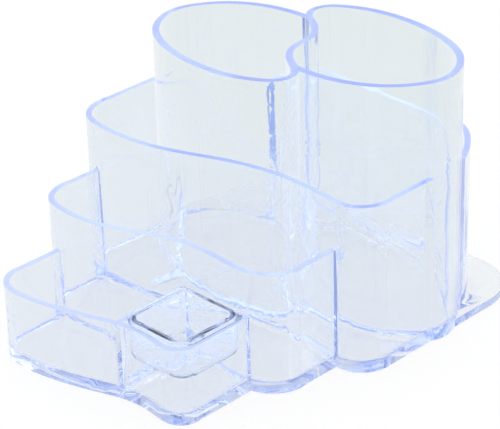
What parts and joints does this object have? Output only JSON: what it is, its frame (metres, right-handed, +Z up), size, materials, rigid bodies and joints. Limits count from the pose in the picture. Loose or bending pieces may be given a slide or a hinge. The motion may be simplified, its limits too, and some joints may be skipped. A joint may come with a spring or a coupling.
{
  "type": "pen holder",
  "caption": "Clear stepped desk tidy with two tall pen cups on a slanting rim, waved front bays, a back pocket and a lift-out tray.",
  "frame": {"origin": "on the flat underside, on the middle line of the tiers and at half the depth", "axes": "+Z up, +Y from the low front tier to the back, +X to the right as seen from the front"},
  "size_m": [0.1339, 0.1616, 0.1002],
  "materials": {
    "clear_moulding": "glossy clear plastic with a pale blue tint",
    "clear_tray": "glossy clear plastic"
  },
  "bodies": {
    "moulding": {"desk_tidy_body": "clear_moulding"},
    "tray": {"lift_out_tray": "clear_tray"}
  },
  "joints": [
    {"name": "tray_lift", "type": "slide", "parent": "moulding", "child": "tray", "axis": [0, 0, 1], "range_m": [0, 0.03]}
  ]
}
